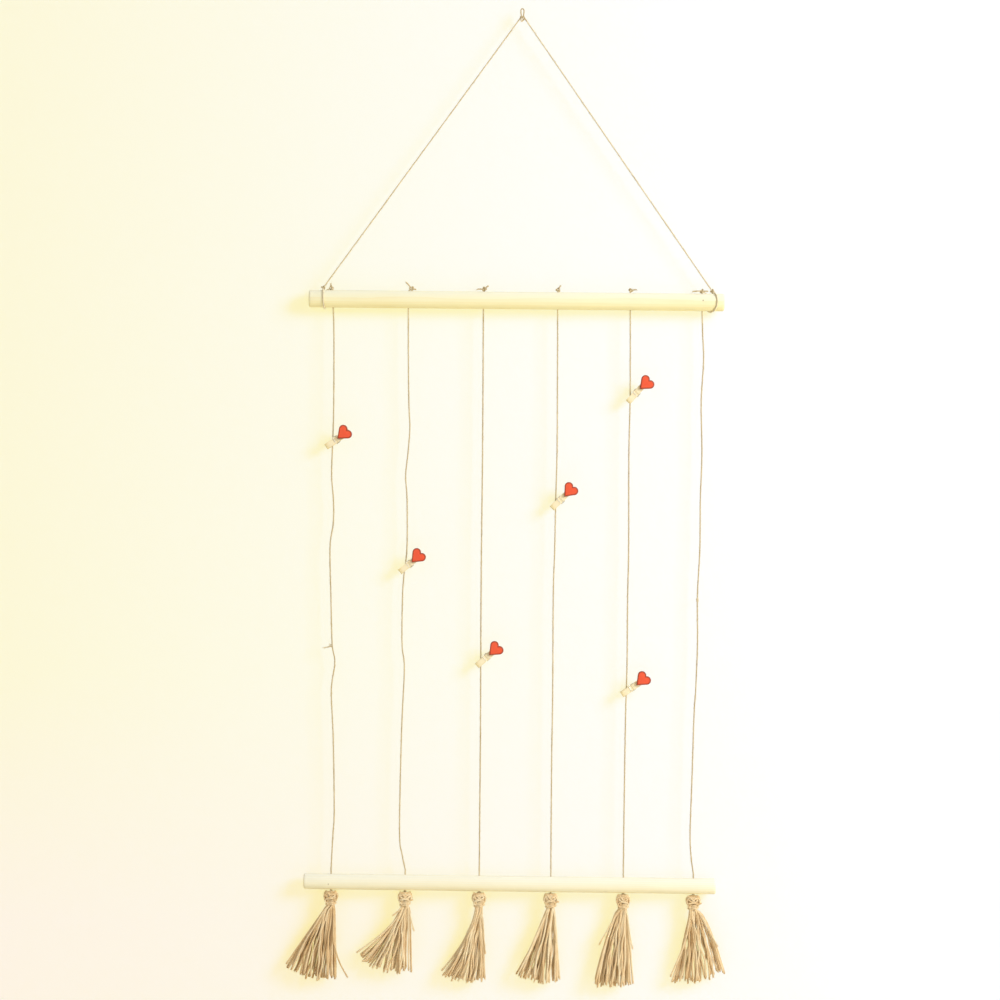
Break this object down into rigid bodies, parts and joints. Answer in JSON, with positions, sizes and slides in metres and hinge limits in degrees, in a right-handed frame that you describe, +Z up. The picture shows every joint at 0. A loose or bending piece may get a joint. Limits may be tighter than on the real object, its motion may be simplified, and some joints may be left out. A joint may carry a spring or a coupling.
{
  "type": "hanging photo display",
  "caption": "Wall-hung photo display: a jute hanger and wooden dowels joined by knotted jute strings with tassels, with slanted wooden spring pegs that carry small red hearts.",
  "frame": {"origin": "where the nail carries the hanger: the inside top of the small cord loop", "axes": "+Z up, -Y to the front (away from the wall), +X to the right seen from the front"},
  "size_m": [0.5291, 0.0248, 1.1779],
  "materials": {
    "pale_wood": "sanded, unvarnished pine",
    "jute_twine": "twisted natural jute",
    "tassel_jute": "loose natural jute strands",
    "peg_wood": "sanded, unvarnished birch",
    "spring_steel": "bright drawn wire",
    "heart_red": "satin red paint"
  },
  "bodies": {
    "hanger": {"top_dowel": "pale_wood", "hanger_cord": "jute_twine", "string_knot_1": "jute_twine", "string_knot_2": "jute_twine", "string_knot_3": "jute_twine", "string_knot_4": "jute_twine", "string_knot_5": "jute_twine", "string_knot_6": "jute_twine"},
    "curtain": {"bottom_dowel": "pale_wood", "string_1": "jute_twine", "string_2": "jute_twine", "string_3": "jute_twine", "string_4": "jute_twine", "string_5": "jute_twine", "string_6": "jute_twine"},
    "tassel_1": {"tassel_1": "tassel_jute", "tassel_1_tie": "jute_twine"},
    "tassel_2": {"tassel_2": "tassel_jute", "tassel_2_tie": "jute_twine"},
    "tassel_3": {"tassel_3": "tassel_jute", "tassel_3_tie": "jute_twine"},
    "tassel_4": {"tassel_4": "tassel_jute", "tassel_4_tie": "jute_twine"},
    "tassel_5": {"tassel_5": "tassel_jute", "tassel_5_tie": "jute_twine"},
    "tassel_6": {"tassel_6": "tassel_jute", "tassel_6_tie": "jute_twine"},
    "clip_1": {"clip_1_rear_lever": "peg_wood", "clip_1_spring": "spring_steel"},
    "clip_1_front": {"clip_1_front_lever": "peg_wood", "clip_1_heart": "heart_red"},
    "clip_2": {"clip_2_rear_lever": "peg_wood", "clip_2_spring": "spring_steel"},
    "clip_2_front": {"clip_2_front_lever": "peg_wood", "clip_2_heart": "heart_red"},
    "clip_3": {"clip_3_rear_lever": "peg_wood", "clip_3_spring": "spring_steel"},
    "clip_3_front": {"clip_3_front_lever": "peg_wood", "clip_3_heart": "heart_red"},
    "clip_4": {"clip_4_rear_lever": "peg_wood", "clip_4_spring": "spring_steel"},
    "clip_4_front": {"clip_4_front_lever": "peg_wood", "clip_4_heart": "heart_red"},
    "clip_5": {"clip_5_rear_lever": "peg_wood", "clip_5_spring": "spring_steel"},
    "clip_5_front": {"clip_5_front_lever": "peg_wood", "clip_5_heart": "heart_red"},
    "clip_6": {"clip_6_rear_lever": "peg_wood", "clip_6_spring": "spring_steel"},
    "clip_6_front": {"clip_6_front_lever": "peg_wood", "clip_6_heart": "heart_red"}
  },
  "joints": [
    {"name": "curtain_swing", "type": "hinge", "parent": "hanger", "child": "curtain", "pos_m": [-0.0071, 0, -0.3619], "axis": [-1, 0, 0.0096], "range_deg": [0, 30]},
    {"name": "tassel_1_swing", "type": "hinge", "parent": "curtain", "child": "tassel_1", "pos_m": [-0.23095, 0, -1.06692], "axis": [-1, 0, 0], "range_deg": [-30, 30]},
    {"name": "tassel_2_swing", "type": "hinge", "parent": "curtain", "child": "tassel_2", "pos_m": [-0.14168, 0, -1.06807], "axis": [-1, 0, 0], "range_deg": [-30, 30]},
    {"name": "tassel_3_swing", "type": "hinge", "parent": "curtain", "child": "tassel_3", "pos_m": [-0.0524, 0, -1.06922], "axis": [-1, 0, 0], "range_deg": [-30, 30]},
    {"name": "tassel_4_swing", "type": "hinge", "parent": "curtain", "child": "tassel_4", "pos_m": [0.03389, 0, -1.07034], "axis": [-1, 0, 0], "range_deg": [-30, 30]},
    {"name": "tassel_5_swing", "type": "hinge", "parent": "curtain", "child": "tassel_5", "pos_m": [0.12118, 0, -1.07147], "axis": [-1, 0, 0], "range_deg": [-30, 30]},
    {"name": "tassel_6_swing", "type": "hinge", "parent": "curtain", "child": "tassel_6", "pos_m": [0.20549, 0, -1.07256], "axis": [-1, 0, 0], "range_deg": [-30, 30]},
    {"name": "clip_1_slide", "type": "slide", "parent": "curtain", "child": "clip_1", "axis": [0.0037, 0, 1], "range_m": [-0.25, 0.12]},
    {"name": "clip_1_open", "type": "hinge", "parent": "clip_1", "child": "clip_1_front", "pos_m": [-0.22337, 0, -0.51872], "axis": [-0.5592, 0, 0.829], "range_deg": [0, 18], "stiffness_Nm_per_rad": 0.02, "springref_deg": -28.65, "deforming": ["clip_1_spring"]},
    {"name": "clip_2_slide", "type": "slide", "parent": "curtain", "child": "clip_2", "axis": [0.0056, 0, 1], "range_m": [-0.2, 0.1]},
    {"name": "clip_2_open", "type": "hinge", "parent": "clip_2", "child": "clip_2_front", "pos_m": [-0.13535, 0, -0.66819], "axis": [-0.6293, 0, 0.7771], "range_deg": [0, 18], "stiffness_Nm_per_rad": 0.02, "springref_deg": -28.65, "deforming": ["clip_2_spring"]},
    {"name": "clip_3_slide", "type": "slide", "parent": "curtain", "child": "clip_3", "axis": [0.0074, 0, 1], "range_m": [-0.2, 0.25]},
    {"name": "clip_3_open", "type": "hinge", "parent": "clip_3", "child": "clip_3_front", "pos_m": [-0.04282, 0, -0.7809], "axis": [-0.6561, 0, 0.7547], "range_deg": [0, 18], "stiffness_Nm_per_rad": 0.02, "springref_deg": -28.65, "deforming": ["clip_3_spring"]},
    {"name": "clip_4_slide", "type": "slide", "parent": "curtain", "child": "clip_4", "axis": [0.0121, 0, 0.9999], "range_m": [-0.3, 0.1]},
    {"name": "clip_4_open", "type": "hinge", "parent": "clip_4", "child": "clip_4_front", "pos_m": [0.0468, 0, -0.59065], "axis": [-0.6947, 0, 0.7193], "range_deg": [0, 18], "stiffness_Nm_per_rad": 0.02, "springref_deg": -28.65, "deforming": ["clip_4_spring"]},
    {"name": "clip_5_slide", "type": "slide", "parent": "curtain", "child": "clip_5", "axis": [0.0124, 0, 0.9999], "range_m": [-0.15, 0.06]},
    {"name": "clip_5_open", "type": "hinge", "parent": "clip_5", "child": "clip_5_front", "pos_m": [0.13781, 0, -0.46196], "axis": [-0.7431, 0, 0.6691], "range_deg": [0, 18], "stiffness_Nm_per_rad": 0.02, "springref_deg": -28.65, "deforming": ["clip_5_spring"]},
    {"name": "clip_6_slide", "type": "slide", "parent": "curtain", "child": "clip_6", "axis": [0.0124, 0, 0.9999], "range_m": [-0.15, 0.15]},
    {"name": "clip_6_open", "type": "hinge", "parent": "clip_6", "child": "clip_6_front", "pos_m": [0.1327, 0, -0.81725], "axis": [-0.5592, 0, 0.829], "range_deg": [0, 18], "stiffness_Nm_per_rad": 0.02, "springref_deg": -28.65, "deforming": ["clip_6_spring"]}
  ]
}
